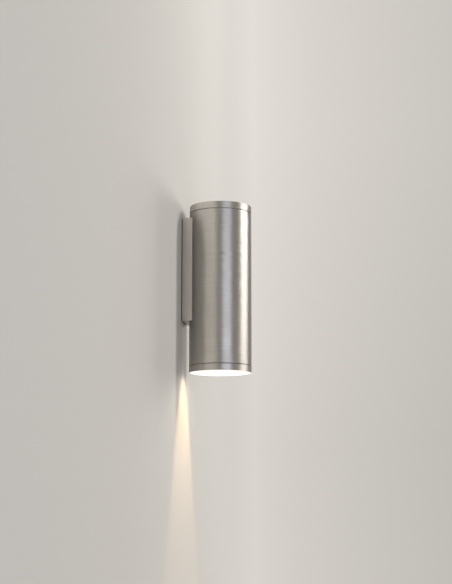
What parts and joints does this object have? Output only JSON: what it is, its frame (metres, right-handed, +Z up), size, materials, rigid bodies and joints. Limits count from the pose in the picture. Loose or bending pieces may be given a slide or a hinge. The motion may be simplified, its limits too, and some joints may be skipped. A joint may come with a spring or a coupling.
{
  "type": "tube wall light",
  "caption": "Brushed steel tube that stands off the wall on a shallow box and lights downwards through an opal lens, with a screw ring at each end.",
  "frame": {"origin": "middle of the mount box's back, on the wall surface", "axes": "+Z up, +Y into the wall, +X to the right seen from the room; the light stands at Y < 0"},
  "size_m": [0.074, 0.081, 0.2],
  "materials": {
    "brushed_tube": "brushed round the tube, satin",
    "brushed_ring": "turned and brushed, satin",
    "brushed_plate": "brushed, satin",
    "brushed_box": "brushed along its length, satin",
    "turned_aluminium": "fine turned",
    "black_rubber": "matt moulded",
    "clear_silicone": "soft, matt",
    "spring_steel": "drawn wire",
    "opal_lens": "opal, lit from behind",
    "white_reflector": "matt white paint",
    "white_lamp_shell": "moulded",
    "lamp_board": "white solder mask",
    "clear_lamp_lens": "clear",
    "nickel_brass": "nickel plated",
    "steatite": "fired, matt",
    "zinc_steel": "zinc plated",
    "stainless_screw": "stainless",
    "terminal_polyamide": "moulded",
    "brown_wire": "extruded",
    "blue_wire": "extruded",
    "green_wire": "extruded"
  },
  "bodies": {
    "fixture": {"tube_body": "brushed_tube", "bezel_collar": "turned_aluminium", "cap_collar": "turned_aluminium", "bezel_seal": "black_rubber", "cap_seal": "black_rubber", "reflector": "white_reflector", "lampholder": "steatite", "lampholder_contacts": "nickel_brass", "lampholder_screws": "zinc_steel", "lampholder_nuts": "zinc_steel", "chassis": "zinc_steel", "body_screws": "zinc_steel", "terminal_block": "terminal_polyamide", "terminal_clamps": "nickel_brass", "terminal_screws": "zinc_steel", "terminal_block_screws": "zinc_steel", "earth_tag": "nickel_brass", "earth_screw": "zinc_steel", "live_wire": "brown_wire", "neutral_wire": "blue_wire", "earth_wire": "green_wire", "mount_housing": "brushed_box", "wall_gasket": "black_rubber", "wall_bracket": "zinc_steel", "grub_screws": "stainless_screw", "cable_grommet": "black_rubber"},
    "lens_group": {"lens": "opal_lens", "lens_gasket": "clear_silicone", "lens_snap_ring": "spring_steel"},
    "bezel": {"bezel_ring": "brushed_ring"},
    "cap_plate_group": {"cap_plate": "brushed_plate", "cap_plate_gasket": "clear_silicone", "cap_plate_snap_ring": "spring_steel"},
    "cap": {"cap_ring": "brushed_ring"},
    "lamp": {"lamp_body": "white_lamp_shell", "lamp_board": "lamp_board", "lamp_lens": "clear_lamp_lens", "lamp_base": "white_lamp_shell", "lamp_pins": "nickel_brass"}
  },
  "joints": [
    {"name": "bezel_travel", "type": "slide", "parent": "fixture", "child": "lens_group", "axis": [0, 0, -1], "range_m": [0, 0.003]},
    {"name": "bezel_turn", "type": "hinge", "parent": "lens_group", "child": "bezel", "pos_m": [0, -0.044, -0.1185], "axis": [0, 0, -1], "range_deg": [0, 720]},
    {"name": "cap_travel", "type": "slide", "parent": "fixture", "child": "cap_plate_group", "axis": [0, 0, 1], "range_m": [0, 0.003]},
    {"name": "cap_turn", "type": "hinge", "parent": "cap_plate_group", "child": "cap", "pos_m": [0, -0.044, 0.0735], "axis": [0, 0, 1], "range_deg": [0, 720]},
    {"name": "lamp_twist", "type": "hinge", "parent": "fixture", "child": "lamp", "pos_m": [0, -0.044, -0.0555], "axis": [0, 0, -1], "range_deg": [0, 20]}
  ],
  "couplings": [
    {"joint": "bezel_travel", "follows": "bezel_turn", "m_per_rad": 0.00023873},
    {"joint": "cap_travel", "follows": "cap_turn", "m_per_rad": 0.00023873}
  ]
}
